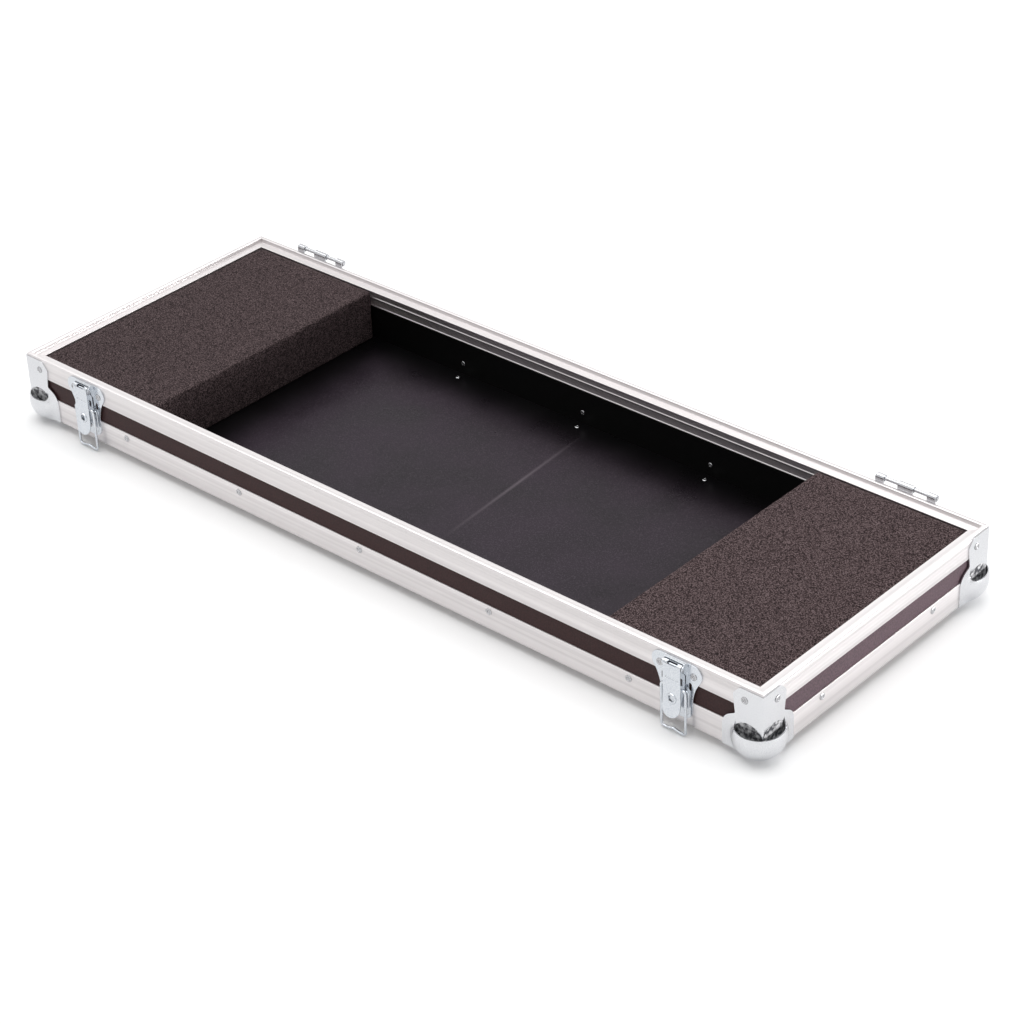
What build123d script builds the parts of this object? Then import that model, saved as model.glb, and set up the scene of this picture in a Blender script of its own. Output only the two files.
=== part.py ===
from build123d import *
from math import atan2, cos, pi, radians, sin, sqrt
import os

# Base tray of a keyboard flight case, shown with its lid lifted off. Millimetres.
# The origin is under the middle of the case, on the plane that the four ball corners stand on.
# +X runs along the case, -Y is the latch side, +Y is the hinge side and +Z is up.

# Overall sizes, over the outer faces of the aluminium edging
case_length = 1122.0
case_width = 395.0
panel_band = 24.0  # height of panel left showing between the bottom angle and the rim

# Panels
wall_thickness = 11.6
floor_thickness = 6.0
panel_clearance = 0.1

# Bottom corner angles
angle_leg = 30.0
skin = 1.6  # sheet of the angles and the outer wall of the rim, so the panels sit this far in
angle_end_cut = 6.0  # the angles stop this far from the vertex, inside the ball
mitre_gap = 0.1

# Rim extrusion
rim_height = 26.4
rim_width = 15.4
lip_width = 5.0
lip_height = 5.3
rim_edge_chamfer = 0.5
bead_depth = 0.6
bead_height = 1.4
bead_drop = 14.5  # from the rim's top to the middle bead
groove_count = 4
groove_pitch = 4.6
groove_width = 0.7
groove_depth = 0.35

# Ball corners
ball_radius = 29.0
ball_inset = 17.0  # ball centre, inward from each of the three faces
ball_sheet = 1.3
ball_flat_depth = 0.86
ball_lip_height = 26.0  # the dome's free edge, above the angles' underside
ball_mouth_reach = 33.5  # how far the mouth above that edge goes along each wing
ball_mouth_radius = 4.0
ball_nose_height = 30.8  # where the wings' point ends, over the middle of the mouth
ball_neck_radius = 8.0  # hollow where the dome runs out into the wings
ball_neck_steps = 3
ball_tip_reach = 5.0  # the three plates stop short of the vertex, where the dome is the skin
wing_reach = 50.0
wing_shoulder_height = 34.5
wing_waist_reach = 33.8
wing_waist_height = 44.0
wing_lobe_reach = 37.0
wing_lobe_height = 68.0
wing_top_reach = 28.5
wing_top_height = 77.5
wing_shoulder_radius = 17.0
wing_waist_radius = 2.5
wing_lobe_radius = 7.0
wing_crown_radius = 5.0
wing_edge_radius = 1.1
flange_corner_radius = 16.0

# Foam blocks
foam_length = 198.0
foam_gap = 0.3
foam_seat_gap = 0.2
foam_below_ledge = 1.2

# Rivets
rivet_head_radius = 4.2
rivet_crown_radius = 2.7
rivet_head_height = 1.1
rivet_tail_radius = 3.0
rivet_tail_height = 1.0
base_rivet_height = 22.5
base_rivet_inset = 24.0
long_rivet_end = 173.0  # from the end of a long side to its first rivet
long_rivet_count = 5
short_rivet_end = 99.0
short_rivet_count = 2
corner_rivet_inset = 22.0
corner_rivet_height = 64.5
flange_rivet_gap = 5.8  # between the ball's circle and the rivet under the flange

# Latches: base plate
latch_end = 108.0  # from the end of the case to the middle of each latch
latch_drop = 2.8  # from the rim's top to the plate's top
plate_thickness = 1.5
plate_top = 77.6  # this and the latch's other heights are above the bail's level line
plate_bottom = 8.0
ear_lobe_inset = 21.0
ear_lobe_radius = 11.5
ear_lobe_angle = 35.0
plate_foot_half_width = 20.5
plate_straight = 8.0
plate_foot_radius = 12.0
emboss_half_width = 16.0
emboss_bottom = 13.0
emboss_top = 43.0
emboss_height = 0.8
window_width = 3.6
window_length = 9.0
window_offset = 17.6
window_height = 50.0
latch_rivet_offset = 21.8
latch_rivet_height = 64.0
foot_rivet_height = 20.0

# Latches: lever, its pin and the ears that hold it
roll_radius = 4.0  # the lever's outer roll round the pin
roll_gap = 0.7  # between the roll and the plate
pivot_height = 72.0
pin_radius = 1.5
pin_clearance = 0.05
pin_head_radius = 2.3
pin_head_length = 0.6
ear_thickness = 1.3
ear_side_gap = 0.4
ear_radius = 3.3
ear_root_bottom = 61.0
roof_gap = 0.4  # between the roll and the roof that joins the ears above it
roof_front = 1.0  # the roof stops this far behind the pin's axis
lever_half_width = 11.5
lever_sheet = 1.3
lever_tip_height = 10.8
lever_flare_start = 34.0
lever_flare = 4.0
cheek_taper_top = 46.0
cheek_taper_bottom = 28.0
slot_length = 13.5
slot_height = 4.0
slot_angle = 54.0
crease_height = 57.0
crease_half_width = 8.0
crease_depth = 0.3
crease_size = 1.4
eye_height = 32.5
eye_radius = 3.6
eye_collar_radius = 5.2
eye_collar_height = 0.8

# Latches: wire bail
bail_wire_radius = 1.65
bail_side_gap = 2.5  # between the lever's cheeks and the legs of the wire
bail_face_gap = 0.4  # between the wire's ends and the inside of the lever's face
bail_pivot_height = 45.5
bail_end_reach = 1.4
bail_foot_drop = 8.6  # the crossbar's centre line below the level line
bail_shoulder_radius = 3.4
bail_foot_radius = 3.2
bail_bow_height = 1.8
bail_bow_half_width = 9.0

# Lift-off hinge halves
hinge_end = 108.0
rod_radius = 2.25
rod_clearance = 0.05
rod_overhang = 1.2
rod_end_chamfer = 0.7
rod_above_rim = 4.1
leaf_thickness = 1.6
leaf_bottom_drop = 26.0
leaf_notch_drop = 3.4
leaf_corner_radius = 5.0
end_knuckle_length = 11.0
rod_gap = 18.5
centre_knuckle_length = 20.0
roll_end_angle = 250.0
roll_slit_angle = 215.0
hinge_rivet_outer = 30.0
hinge_rivet_inner = 13.0
hinge_rivet_low = 20.0
hinge_rivet_high = 10.0

# Levels
stand_height = ball_radius - ball_inset - ball_flat_depth
rim_bottom = angle_leg + panel_band
rim_top = rim_bottom + rim_height
ledge = rim_top - lip_height
web_underside = ledge - skin
wall_top = web_underside - panel_clearance
floor_top = skin + floor_thickness

# Depths, inward from an outer face
wall_inner = skin + wall_thickness
rim_leg_outer = wall_inner + panel_clearance
rim_leg_inner = rim_width - bead_depth
foam_inset = rim_width + foam_gap

half_length = case_length / 2
half_width = case_width / 2

# The flange's rivet stands on the diagonal, clear of the circle where the ball meets the flange
ball_circle_radius = sqrt(ball_radius**2 - (ball_inset + ball_sheet) ** 2)
flange_rivet_reach = ball_circle_radius + flange_rivet_gap + rivet_head_radius
flange_rivet_inset = ball_inset + flange_rivet_reach / sqrt(2)

# Places on the latch, outward from the case's face and across it
pivot_out = plate_thickness + roll_gap + roll_radius
lever_face_out = pivot_out + roll_radius
bail_pivot_out = lever_face_out - lever_sheet - bail_face_gap - bail_wire_radius
bail_half_width = lever_half_width + bail_side_gap + bail_wire_radius
bail_end_inset = lever_half_width - lever_sheet - bail_end_reach


def block(x0, x1, y0, y1, z0, z1):
    """A box between two opposite corners."""
    box = Box(x1 - x0, y1 - y0, z1 - z0)
    return Pos((x0 + x1) / 2, (y0 + y1) / 2, (z0 + z1) / 2) * box


def side_frames():
    """Each side's frame and length: x along the side, y inward, z up from the angles' underside."""
    return {
        "front": (Pos(0, -half_width, stand_height), case_length),
        "back": (Pos(0, half_width, stand_height) * Rot(0, 0, 180), case_length),
        "left": (Pos(-half_length, 0, stand_height) * Rot(0, 0, -90), case_width),
        "right": (Pos(half_length, 0, stand_height) * Rot(0, 0, 90), case_width),
    }


def corner_frames():
    """Each vertex frame: the case lies toward +x, +y and +z of it."""
    return {
        "front_left": Pos(-half_length, -half_width, stand_height),
        "front_right": Pos(half_length, -half_width, stand_height) * Rot(0, 0, 90),
        "back_right": Pos(half_length, half_width, stand_height) * Rot(0, 0, 180),
        "back_left": Pos(-half_length, half_width, stand_height) * Rot(0, 0, -90),
    }


def mitred(section, length, end_cut, gap, depth, height):
    """A section in (inward, up) run along x, with both ends cut off and mitred in plan."""
    bar = extrude(Plane.YZ * section, amount=length / 2, both=True)
    tip = length / 2 - gap
    plan = [(tip - end_cut, 0), (tip - end_cut, end_cut), (tip - depth, depth)]
    plan += [(-x, y) for x, y in reversed(plan)]
    if end_cut == 0:
        plan = [plan[0], plan[2], plan[3], plan[5]]
    return bar & extrude(make_face(Polyline(*plan, close=True)), amount=height)


def base_angle(length):
    """A bottom angle: two equal legs of sheet, mitred under the case."""
    section = make_face(
        Polyline(
            (0, 0),
            (angle_leg, 0),
            (angle_leg, skin),
            (skin, skin),
            (skin, angle_leg),
            (0, angle_leg),
            close=True,
        )
    )
    return mitred(section, length, angle_end_cut, mitre_gap, angle_leg, angle_leg)


def rim_section():
    """The rim's section: grooved face, hollow lip, ledge, panel slot and beaded inner leg."""
    face = [(0, rim_bottom)]
    first = rim_bottom + (rim_height - groove_pitch * (groove_count - 1)) / 2
    for i in range(groove_count):
        middle = first + i * groove_pitch
        face += [
            (0, middle - groove_width / 2),
            (groove_depth, middle),
            (0, middle + groove_width / 2),
        ]
    lip = [
        (0, rim_top - rim_edge_chamfer),
        (rim_edge_chamfer, rim_top),
        (lip_width - rim_edge_chamfer, rim_top),
        (lip_width, rim_top - rim_edge_chamfer),
        (lip_width, ledge),
        (rim_width, ledge),
        (rim_width, web_underside),
    ]
    bead_middle = rim_top - bead_drop
    inner_leg = [
        (rim_leg_inner, web_underside - bead_depth),
        (rim_leg_inner, bead_middle + bead_height / 2 + bead_depth),
        (rim_width, bead_middle + bead_height / 2),
        (rim_width, bead_middle - bead_height / 2),
        (rim_leg_inner, bead_middle - bead_height / 2 - bead_depth),
        (rim_leg_inner, rim_bottom + bead_height + bead_depth),
        (rim_width, rim_bottom + bead_height),
        (rim_width, rim_bottom),
    ]
    slot = [
        (rim_leg_outer, rim_bottom),
        (rim_leg_outer, web_underside),
        (lip_width - skin, web_underside),
        (lip_width - skin, rim_top - skin),
        (skin, rim_top - skin),
        (skin, rim_bottom),
    ]
    return make_face(Polyline(*face, *lip, *inner_leg, *slot, close=True))


def rim(length):
    return mitred(rim_section(), length, 0, mitre_gap / 2, rim_width, rim_top)


def wall(side_length, end_inset):
    reach = side_length / 2 - end_inset
    return block(-reach, reach, skin, wall_inner, skin, wall_top)


def floor_panel():
    reach_x = half_length - wall_inner
    reach_y = half_width - wall_inner
    return Pos(0, 0, stand_height) * block(-reach_x, reach_x, -reach_y, reach_y, skin, floor_top)


def foam_block(hand):
    """A support block laid on the floor at one end. hand is -1 for the left end."""
    outer = hand * (half_length - foam_inset)
    inner = outer - hand * foam_length
    reach_y = half_width - foam_inset
    bottom = floor_top + foam_seat_gap
    top = ledge - foam_below_ledge
    low, high = sorted((inner, outer))
    return Pos(0, 0, stand_height) * block(low, high, -reach_y, reach_y, bottom, top)


def wing_outline():
    """One side wing of a ball corner, in (along the side, up)."""
    shoulder = (wing_reach, wing_shoulder_height)
    waist = (wing_waist_reach, wing_waist_height)
    lobe = (wing_lobe_reach, wing_lobe_height)
    crown = (wing_top_reach, wing_top_height)
    outline = make_face(
        Polyline(
            (-ball_sheet, -ball_sheet),
            (wing_reach, -ball_sheet),
            shoulder,
            waist,
            lobe,
            crown,
            (-ball_sheet, wing_top_height),
            close=True,
        )
    )
    rounds = (
        (shoulder, wing_shoulder_radius),
        (waist, wing_waist_radius),
        (lobe, wing_lobe_radius),
        (crown, wing_crown_radius),
    )
    for corner, radius in rounds:
        near = outline.vertices().sort_by_distance((*corner, 0))[0]
        outline = fillet(near, radius)
    return outline


def flange_outline():
    """The flange under the case."""
    square = Rectangle(wing_reach + ball_sheet, wing_reach + ball_sheet, align=(Align.MIN, Align.MIN))
    square = Pos(-ball_sheet, -ball_sheet) * square
    inner = square.vertices().sort_by_distance((wing_reach, wing_reach, 0))[0]
    return fillet(inner, flange_corner_radius)


def on_outer_edge(edge):
    """True for the three edges where two wings, or a wing and the flange, meet outside."""
    middle = edge @ 0.5
    return sum(abs(value + ball_sheet) < 1e-3 for value in middle) == 2


def neck_ring():
    """The hollow round a dome that stands out of a plate on z = 0, turned about the dome's axis."""
    depth = ball_inset + ball_sheet
    middle = sqrt((ball_radius + ball_neck_radius) ** 2 - (depth + ball_neck_radius) ** 2)
    sink = ball_sheet / 2
    ball_middle = ball_radius - sink
    top_turn = atan2(depth + ball_neck_radius, middle)
    profile = [
        (ball_middle * cos(top_turn), ball_middle * sin(top_turn) - depth),
        (sqrt(ball_middle**2 - (depth - sink) ** 2), -sink),
        (middle, -sink),
    ]
    for step in range(ball_neck_steps + 1):
        turn = -pi / 2 - (pi / 2 - top_turn) * step / ball_neck_steps
        point = (middle + ball_neck_radius * cos(turn), ball_neck_radius * (1 + sin(turn)))
        profile.append(point)
    return revolve(Plane.XZ * make_face(Polyline(*profile, close=True)), Axis.Z)


def mouth():
    """What the dome's mouth takes away: all outside the wings above the free edge, to its two ends."""
    reach = 2 * ball_radius
    side = Plane.XZ * Pos(ball_mouth_reach - reach / 2, ball_lip_height + reach / 2)
    side *= RectangleRounded(reach, reach, ball_mouth_radius)
    front = extrude(side, amount=reach)
    front &= block(-reach, reach, -reach, -ball_sheet, 0, wing_top_height)
    diagonal = Plane((0, 0, 0), z_dir=(1, -1, 0))
    return front + mirror(front, about=diagonal)


def neck_rings():
    """The hollows that show on the wings and the flange, mitred where two of them meet."""
    ring = neck_ring()
    reach = wing_reach
    front_plane = Plane(origin=(ball_inset, -ball_sheet, ball_inset), z_dir=(0, -1, 0))
    front_side = make_face(Polyline((0, 0), (-reach, -reach), (-reach, reach), (0, reach), close=True))
    front = front_plane * ring & extrude(Plane.YZ.offset(ball_inset) * front_side, amount=reach)
    diagonal = Plane((0, 0, 0), z_dir=(1, -1, 0))

    under_plane = Plane(origin=(ball_inset, ball_inset, -ball_sheet), z_dir=(0, 0, -1))
    under_side = make_face(Polyline((0, 0), (-reach, -reach), (reach, -reach), (reach, 0), close=True))
    under_space = extrude(Plane.YZ * under_side, amount=reach, both=True)
    under = under_plane * ring & under_space & mirror(under_space, about=diagonal)
    under -= block(-reach, ball_inset, -reach, ball_inset, -reach, 0)
    return front + mirror(front, about=diagonal) + under


def ball_corner():
    """A pressed corner: two wings and a flange round the vertex, with a ball blown out of them."""
    diagonal = Plane((0, 0, 0), z_dir=(1, -1, 0))
    wing = extrude(Plane.XZ * wing_outline(), amount=ball_sheet)
    flange = extrude(flange_outline(), amount=-ball_sheet)
    plates = wing + mirror(wing, about=diagonal) + flange
    plates -= block(0, wing_reach, 0, wing_reach, 0, wing_top_height)
    plates = fillet(plates.edges().filter_by(on_outer_edge), wing_edge_radius)

    centre = Pos(ball_inset, ball_inset, ball_inset)
    ball_inner = ball_radius - ball_sheet
    tip = ball_tip_reach
    plates -= centre * Sphere((ball_radius + ball_inner) / 2)
    plates -= block(-ball_sheet, 0, -ball_sheet, 0, ball_lip_height, ball_nose_height)
    plates -= block(-ball_sheet, tip, -ball_sheet, tip, -ball_sheet, tip)

    dome = centre * (Sphere(ball_radius) - Sphere(ball_inner))
    inside = block(0, 2 * ball_radius, 0, 2 * ball_radius, 0, 2 * ball_radius)
    inside -= block(0, tip, 0, tip, 0, tip)
    corner = plates + (dome + neck_rings() - inside - mouth())
    ground = -stand_height
    return corner - block(-wing_reach, wing_reach, -wing_reach, wing_reach, 2 * ground, ground)


def rivet_part(place, direction, base_radius, crown_radius, height):
    """A low round crown standing on place and pointing along direction."""
    crown = Cone(base_radius, crown_radius, height, align=(Align.CENTER, Align.CENTER, Align.MIN))
    return Plane(origin=place, z_dir=direction) * crown


def head(place, direction):
    return rivet_part(place, direction, rivet_head_radius, rivet_crown_radius, rivet_head_height)


def tail(place, direction):
    crown_radius = rivet_tail_radius * rivet_crown_radius / rivet_head_radius
    return rivet_part(place, direction, rivet_tail_radius, crown_radius, rivet_tail_height)


def row(count, length, end):
    """Even stations along a side, the first and last of them end short of its ends."""
    pitch = (length - 2 * end) / (count - 1)
    return [(i - (count - 1) / 2) * pitch for i in range(count)]


def base_stations():
    """Where the rivets stand along a long and a short side, and whether the inside is open there."""
    clear = half_length - foam_inset - foam_length - rivet_tail_radius
    long_side = [(x, abs(x) < clear) for x in row(long_rivet_count, case_length, long_rivet_end)]
    short_side = [(x, False) for x in row(short_rivet_count, case_width, short_rivet_end)]
    return long_side, short_side


def base_rivets(stations):
    """One side's rivets: heads on both legs of the angle, and tails inside where no foam covers them."""
    parts = []
    for x, open_inside in stations:
        parts.append(head((x, 0, base_rivet_height), (0, -1, 0)))
        parts.append(head((x, base_rivet_inset, 0), (0, 0, -1)))
        if open_inside:
            parts.append(tail((x, wall_inner, base_rivet_height), (0, 1, 0)))
            parts.append(tail((x, base_rivet_inset, floor_top), (0, 0, 1)))
    return parts


def corner_rivets():
    """One ball corner's rivets: high in each wing, and under the flange."""
    return [
        head((corner_rivet_inset, -ball_sheet, corner_rivet_height), (0, -1, 0)),
        head((-ball_sheet, corner_rivet_inset, corner_rivet_height), (-1, 0, 0)),
        head((flange_rivet_inset, flange_rivet_inset, -ball_sheet), (0, 0, -1)),
    ]


def plate_outline():
    """The latch plate in (across, up): two eared lobes, a hollow waist and a round foot."""
    turn = radians(ear_lobe_angle)
    lobe_centre = plate_top - ear_lobe_radius
    lobe_end = (ear_lobe_inset + ear_lobe_radius * cos(turn), lobe_centre - ear_lobe_radius * sin(turn))
    waist_radius = (lobe_end[0] - plate_foot_half_width) / (1 - cos(turn))
    waist_end = (plate_foot_half_width, lobe_end[1] - waist_radius * sin(turn))
    foot_start = (plate_foot_half_width, waist_end[1] - plate_straight)
    middle_turn = radians(45 - ear_lobe_angle / 2)
    lobe_middle = (
        ear_lobe_inset + ear_lobe_radius * cos(middle_turn),
        lobe_centre + ear_lobe_radius * sin(middle_turn),
    )
    half_turn = turn / 2
    waist_middle = (
        plate_foot_half_width + waist_radius * (1 - cos(half_turn)),
        waist_end[1] + waist_radius * sin(half_turn),
    )
    edge = Line((0, plate_top), (ear_lobe_inset, plate_top))
    edge += ThreePointArc((ear_lobe_inset, plate_top), lobe_middle, lobe_end)
    edge += ThreePointArc(lobe_end, waist_middle, waist_end)
    edge += Polyline(waist_end, foot_start, (plate_foot_half_width, plate_bottom), (0, plate_bottom), (0, plate_top))
    half = make_face(edge)
    foot = half.vertices().sort_by_distance((plate_foot_half_width, plate_bottom, 0))[0]
    half = fillet(foot, plate_foot_radius)
    return half + mirror(half, about=Plane.YZ)


def pivot_ear():
    """The side view of an ear, in (-out, up): a round end about the pin, from sloping root to roof."""
    root = Polyline(
        (0, ear_root_bottom),
        (-plate_thickness, ear_root_bottom),
        (-pivot_out - ear_radius, pivot_height),
        (-pivot_out + roof_front, plate_top),
        (0, plate_top),
        close=True,
    )
    round_end = Pos(-pivot_out, pivot_height) * Circle(ear_radius)
    hole = Pos(-pivot_out, pivot_height) * Circle(pin_radius + pin_clearance)
    return make_face(root) + round_end - hole


def latch_plate():
    """Base plate with its raised field, two windows, and the two ears for the pin under their roof."""
    plate = extrude(Plane.XZ * plate_outline(), amount=plate_thickness)
    middle = (emboss_bottom + emboss_top) / 2
    field = RectangleRounded(2 * emboss_half_width, emboss_top - emboss_bottom, 4.0)
    raised = Plane.XZ.offset(plate_thickness) * Pos(0, middle) * field
    plate += extrude(raised, amount=emboss_height, taper=30)
    inner = lever_half_width + ear_side_gap
    for hand in (-1, 1):
        window = Pos(hand * window_offset, window_height) * Rot(0, 0, 90)
        window = Plane.XZ * window * SlotOverall(window_length, window_width)
        plate -= extrude(window, amount=plate_thickness)
        ear = extrude(Plane.YZ * pivot_ear(), amount=ear_thickness)
        start = inner if hand > 0 else -inner - ear_thickness
        plate += Pos(start, 0, 0) * ear
    roof_bottom = pivot_height + roll_radius + roof_gap
    plate += block(-inner, inner, roof_front - pivot_out, 0, roof_bottom, plate_top)
    return plate


def latch_pin():
    """Headed pin through both ears and the lever's cheeks."""
    reach = lever_half_width + ear_side_gap + ear_thickness
    shank = extrude(Plane.YZ * Circle(pin_radius), amount=reach, both=True)
    end = extrude(Plane.YZ.offset(reach) * Circle(pin_head_radius), amount=pin_head_length)
    pin = shank + end + mirror(end, about=Plane.YZ)
    return Pos(0, -pivot_out, pivot_height) * pin


def lever_side():
    """The lever from the side, in (-out, up): face, roll round the pin, cheeks and flared tip."""
    roll = lever_face_out - pivot_out
    drop = lever_flare_start - lever_tip_height
    flare_radius = (lever_flare**2 + drop**2) / (2 * lever_flare)
    flare_middle = -lever_face_out - flare_radius
    inner_radius = flare_radius + lever_sheet
    half_drop = drop / 2

    def on_flare(radius, below):
        return (flare_middle + sqrt(radius**2 - below**2), lever_flare_start - below)

    face_start = (-lever_face_out, lever_flare_start)
    edge = ThreePointArc(on_flare(flare_radius, drop), on_flare(flare_radius, half_drop), face_start)
    edge += Line(face_start, (-lever_face_out, pivot_height))
    edge += ThreePointArc(
        (-lever_face_out, pivot_height), (-pivot_out, pivot_height + roll), (-pivot_out + roll, pivot_height)
    )
    edge += Polyline(
        (-pivot_out + roll, pivot_height),
        (-pivot_out + roll, cheek_taper_top),
        on_flare(inner_radius, lever_flare_start - cheek_taper_bottom),
    )
    edge += ThreePointArc(
        on_flare(inner_radius, lever_flare_start - cheek_taper_bottom),
        on_flare(inner_radius, (lever_flare_start - cheek_taper_bottom + drop) / 2),
        on_flare(inner_radius, drop),
    )
    edge += Line(on_flare(inner_radius, drop), on_flare(flare_radius, drop))
    return make_face(edge)


def lever():
    """Channel lever: folded sheet with cheeks, a slot over the pin, a crease, an eye and a round tip."""
    body = extrude(Plane.YZ * lever_side(), amount=lever_half_width, both=True)
    inner_face = lever_face_out - lever_sheet
    hollow = Polyline(
        (-inner_face, lever_flare_start),
        (-inner_face, pivot_height),
        (0, pivot_height),
        (0, lever_flare_start),
        close=True,
    )
    hollow = make_face(hollow) + Pos(-pivot_out, pivot_height) * Circle(inner_face - pivot_out)
    body -= extrude(Plane.YZ * hollow, amount=lever_half_width - lever_sheet, both=True)

    tip_middle = lever_tip_height + lever_half_width
    front = Pos(0, (tip_middle + plate_top) / 2) * Rectangle(2 * lever_half_width, plate_top - tip_middle)
    front += Pos(0, tip_middle) * Circle(lever_half_width)
    body &= extrude(Plane.XZ * front, amount=lever_face_out + 2 * lever_flare)

    pin_axis = Pos(0, -pivot_out, pivot_height)
    bore = extrude(Plane.YZ * Circle(pin_radius + pin_clearance), amount=lever_half_width, both=True)
    body -= pin_axis * bore
    bail_axis = Pos(0, -bail_pivot_out, bail_pivot_height)
    bore = extrude(Plane.YZ * Circle(bail_wire_radius + pin_clearance), amount=lever_half_width, both=True)
    body -= bail_axis * bore

    turn = radians(slot_angle)
    slot_plane = Plane(
        origin=(0, -pivot_out, pivot_height), x_dir=(1, 0, 0), z_dir=(0, -cos(turn), sin(turn))
    )
    body -= extrude(slot_plane * SlotOverall(slot_length, slot_height), amount=lever_face_out)

    crease = block(
        -crease_half_width,
        crease_half_width,
        -lever_face_out,
        -lever_face_out + crease_depth,
        crease_height - crease_size / 2,
        crease_height + crease_size / 2,
    )
    body -= crease
    collar_top = lever_face_out + eye_collar_height
    collar_depth = eye_collar_height + lever_sheet
    eye = Plane.XZ.offset(collar_top) * Pos(0, eye_height)
    body += extrude(eye * Circle(eye_collar_radius), amount=-collar_depth)
    return body - extrude(eye * Circle(eye_radius), amount=-2 * collar_depth)


def bail():
    """Wire loop with its ends turned into the cheeks and a crossbar kinked upward."""
    foot = -bail_foot_drop
    half = [
        (bail_end_inset, bail_pivot_height),
        (bail_half_width, bail_pivot_height),
        (bail_half_width, foot),
        (bail_bow_half_width, foot),
    ]
    bent = FilletPolyline(*half, radius=[bail_shoulder_radius, bail_foot_radius])
    crossbar = Polyline((bail_bow_half_width, foot), (0, foot + bail_bow_height), (-bail_bow_half_width, foot))
    outline = bent + crossbar + mirror(bent, about=Plane.YZ)
    path = Wire((Plane.XZ.offset(bail_pivot_out) * outline).edges())
    start = Plane(origin=(bail_end_inset, -bail_pivot_out, bail_pivot_height), z_dir=(1, 0, 0))
    return sweep(start * Circle(bail_wire_radius), path=path, transition=Transition.RIGHT)


def knuckle_stations():
    """Start and end of each knuckle along the hinge."""
    half_centre = centre_knuckle_length / 2
    inner = half_centre + rod_gap
    outer = inner + end_knuckle_length
    return [(-outer, -inner), (-half_centre, half_centre), (inner, outer)]


def hinge_leaf():
    """Hinge half on the back, in (across, out, up): riveted leaf, rolled at three knuckles."""
    axis_up = rim_top + rod_above_rim
    bore = rod_radius + rod_clearance
    roll = bore + leaf_thickness
    outer = knuckle_stations()[-1][1]
    bottom = rim_top - leaf_bottom_drop
    leaf_face = Pos(0, (bottom + axis_up) / 2) * Rectangle(2 * outer, axis_up - bottom)
    low_corners = leaf_face.vertices().group_by(Axis.Y)[0]
    leaf_face = fillet(low_corners, leaf_corner_radius)
    leaf = extrude(Plane.XZ * leaf_face, amount=leaf_thickness)
    ring = Pos(-roll, axis_up) * (Circle(roll) - Circle(bore))
    slit_points = [(-roll, axis_up)]
    for angle in (roll_slit_angle, roll_end_angle):
        turn = radians(angle)
        slit_points.append((-roll - 2 * roll * cos(turn), axis_up + 2 * roll * sin(turn)))
    slit = make_face(Polyline(*slit_points, close=True))
    strip = Pos(-leaf_thickness / 2, axis_up - roll) * Rectangle(leaf_thickness, 2 * roll)
    knuckle_side = ring - (slit - strip)
    for start, end in knuckle_stations():
        leaf += Pos(start, 0, 0) * extrude(Plane.YZ * knuckle_side, amount=end - start)
    notch_bottom = rim_top - leaf_notch_drop
    half_centre = centre_knuckle_length / 2
    for start in (-half_centre - rod_gap, half_centre):
        leaf -= block(start, start + rod_gap, -2 * roll, 0, notch_bottom, axis_up + roll)
    leaf -= Pos(0, -roll, axis_up) * extrude(Plane.YZ * Circle(bore), amount=outer, both=True)
    return leaf


def hinge_rod():
    """Plain rod with chamfered ends, bare between the knuckles so that the lid's half hooks on."""
    roll = rod_radius + rod_clearance + leaf_thickness
    reach = knuckle_stations()[-1][1] + rod_overhang
    rod = extrude(Plane.YZ * Circle(rod_radius), amount=reach, both=True)
    rod = chamfer(rod.edges().filter_by(GeomType.CIRCLE), rod_end_chamfer)
    return Pos(0, -roll, rim_top + rod_above_rim) * rod


def hinge_rivets():
    parts = []
    for hand in (-1, 1):
        for across, drop in ((hinge_rivet_outer, hinge_rivet_low), (hinge_rivet_inner, hinge_rivet_high)):
            parts.append(head((hand * across, -leaf_thickness, rim_top - drop), (0, -1, 0)))
    return parts


def latch_rivets():
    raised = -plate_thickness - emboss_height
    parts = [head((0, raised, foot_rivet_height), (0, -1, 0))]
    for hand in (-1, 1):
        place = (hand * latch_rivet_offset, -plate_thickness, latch_rivet_height)
        parts.append(head(place, (0, -1, 0)))
    return parts


def group(parts):
    """Separate solids kept in one file."""
    solids = []
    for part in parts:
        solids.extend(part.solids())
    return Compound(solids)


def build():
    """Every piece of the tray by name."""
    pieces = {"floor_panel": floor_panel()}
    long_side, short_side = base_stations()
    for side, (frame, length) in side_frames().items():
        runs_through = side in ("front", "back")
        stations = long_side if runs_through else short_side
        pieces["wall_" + side] = frame * wall(length, skin if runs_through else wall_inner)
        pieces["base_angle_" + side] = frame * base_angle(length)
        pieces["rim_" + side] = frame * rim(length)
        pieces["base_rivets_" + side] = group([frame * part for part in base_rivets(stations)])

    corner = ball_corner()
    all_corner_rivets = []
    for place, frame in corner_frames().items():
        pieces["ball_corner_" + place] = frame * corner
        all_corner_rivets += [frame * part for part in corner_rivets()]
    pieces["corner_rivets"] = group(all_corner_rivets)

    front = side_frames()["front"][0]
    back = side_frames()["back"][0]
    for side, hand in (("left", -1), ("right", 1)):
        pieces["foam_block_" + side] = foam_block(hand)
        latch = front * Pos(hand * (half_length - latch_end), 0, rim_top - latch_drop - plate_top)
        pieces["latch_plate_" + side] = latch * latch_plate()
        pieces["latch_pin_" + side] = latch * latch_pin()
        pieces["latch_lever_" + side] = latch * lever()
        pieces["latch_bail_" + side] = latch * bail()
        pieces["latch_rivets_" + side] = group([latch * part for part in latch_rivets()])
        hinge = back * Pos(-hand * (half_length - hinge_end), 0, 0)
        pieces["hinge_leaf_" + side] = hinge * hinge_leaf()
        pieces["hinge_rod_" + side] = hinge * hinge_rod()
        pieces["hinge_rivets_" + side] = group([hinge * part for part in hinge_rivets()])
    return pieces


os.makedirs("parts", exist_ok=True)
for name, piece in build().items():
    export_step(piece, "parts/" + name + ".step")
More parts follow.
